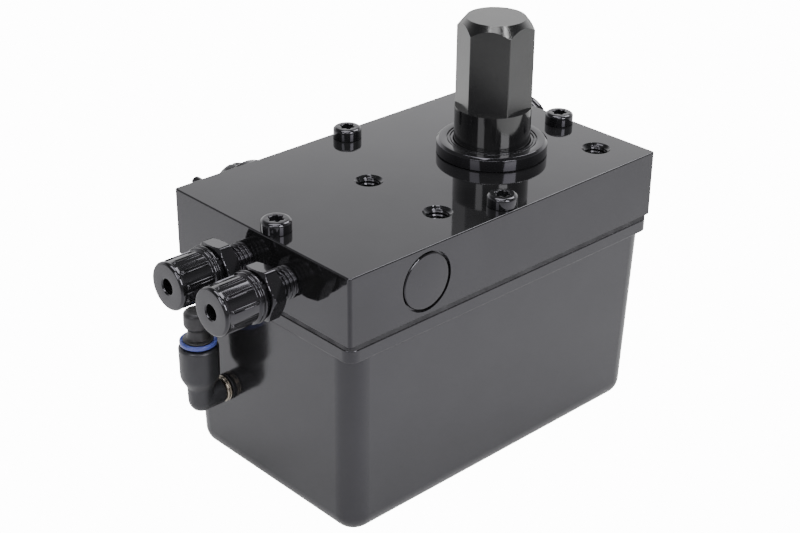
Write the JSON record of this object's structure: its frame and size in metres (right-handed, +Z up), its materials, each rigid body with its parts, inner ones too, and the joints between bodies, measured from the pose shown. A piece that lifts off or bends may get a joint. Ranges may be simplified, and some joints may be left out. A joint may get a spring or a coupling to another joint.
{
  "type": "rotary actuator",
  "caption": "Hand-operated rotary actuator: black valve block with hexagon drive spindle and rack piston on an oil tank, with hose fittings and a push-in elbow.",
  "frame": {"origin": "centre of the valve block's top face", "axes": "+Z up along the spindle, +X along the block away from the hose fittings, +Y towards the valve knob"},
  "size_m": [0.2388, 0.1295, 0.19],
  "materials": {
    "block_black": "gloss black paint",
    "tank_grey": "satin moulded plastic",
    "gasket_rubber": "matt rubber",
    "black_plated": "gloss black plating",
    "bronze": "turned bearing bronze",
    "brass_bright": "turned brass",
    "nickel_brass": "nickel-plated brass",
    "steel_bare": "machined steel",
    "elbow_black": "matt moulded plastic",
    "collar_blue": "smooth moulded plastic",
    "plug_grey": "matt moulded plastic"
  },
  "bodies": {
    "housing": {"valve_block": "block_black", "tank_gasket": "gasket_rubber", "tank": "tank_grey", "tank_sleeves": "brass_bright", "tank_screws": "black_plated", "gland_ring": "black_plated", "upper_bush": "bronze", "shaft_seal": "gasket_rubber", "wiper_seal": "gasket_rubber", "thrust_washer": "bronze", "gear_cover": "steel_bare", "lower_bush": "bronze", "cover_ring": "steel_bare", "cylinder_cap": "black_plated", "cap_washer": "gasket_rubber", "front_plug": "black_plated", "valve_flange": "black_plated", "bleed_nut": "black_plated", "check_seat": "brass_bright", "check_spring": "steel_bare", "suction_tube": "steel_bare", "suction_strainer": "steel_bare", "port_stud": "nickel_brass", "port_seal": "gasket_rubber", "stud_nut": "nickel_brass", "fitting_body_front": "black_plated", "fitting_body_rear": "black_plated"},
    "spindle": {"spindle": "black_plated", "gear_sector": "steel_bare", "drive_key": "steel_bare", "retaining_clip": "steel_bare"},
    "piston": {"rack_piston": "steel_bare", "piston_rings": "gasket_rubber"},
    "valve": {"valve_spool": "steel_bare", "spool_rings": "gasket_rubber", "valve_knob": "elbow_black"},
    "bleed": {"bleed_screw": "black_plated"},
    "nut_front": {"cap_nut_front": "black_plated", "ferrule_front": "brass_bright"},
    "nut_rear": {"cap_nut_rear": "black_plated", "ferrule_rear": "brass_bright"},
    "elbow": {"elbow_body": "elbow_black", "elbow_ring": "gasket_rubber", "grip_ring": "steel_bare"},
    "collar": {"release_collar": "collar_blue"},
    "plug": {"blanking_plug": "plug_grey"},
    "ball": {"check_ball": "steel_bare"}
  },
  "joints": [
    {"name": "spindle_turn", "type": "hinge", "parent": "housing", "child": "spindle", "pos_m": [0.038, -0.006, 0], "axis": [0, 0, 1], "range_deg": [-22.5, 22.5]},
    {"name": "piston_slide", "type": "slide", "parent": "housing", "child": "piston", "axis": [1, 0, 0], "range_m": [-0.0126, 0.0126]},
    {"name": "valve_turn", "type": "hinge", "parent": "housing", "child": "valve", "pos_m": [-0.0505, 0, -0.0155], "axis": [0, 1, 0], "range_deg": [0, 90]},
    {"name": "bleed_turn", "type": "hinge", "parent": "housing", "child": "bleed", "pos_m": [-0.0695, 0, -0.009], "axis": [0, 1, 0], "range_deg": [0, 180]},
    {"name": "nut_front_turn", "type": "hinge", "parent": "housing", "child": "nut_front", "pos_m": [0, -0.01875, -0.0155], "axis": [-1, 0, 0], "continuous": true},
    {"name": "nut_rear_turn", "type": "hinge", "parent": "housing", "child": "nut_rear", "pos_m": [0, 0.00975, -0.0155], "axis": [-1, 0, 0], "continuous": true},
    {"name": "elbow_swivel", "type": "hinge", "parent": "housing", "child": "elbow", "pos_m": [-0.095, 0.0285, -0.0873], "axis": [1, 0, 0], "range_deg": [-100, 100]},
    {"name": "collar_press", "type": "slide", "parent": "elbow", "child": "collar", "axis": [0, 0, -1], "range_m": [0, 0.0008], "stiffness_N_per_m": 800},
    {"name": "plug_pull", "type": "slide", "parent": "elbow", "child": "plug", "axis": [0, 0, 1], "range_m": [0, 0.012]},
    {"name": "ball_lift", "type": "slide", "parent": "housing", "child": "ball", "axis": [0, 0, 1], "range_m": [0, 0.0015], "stiffness_N_per_m": 60, "springref_m": -0.001, "deforming": ["check_spring"]}
  ],
  "couplings": [
    {"joint": "piston_slide", "follows": "spindle_turn", "m_per_rad": -0.032}
  ]
}
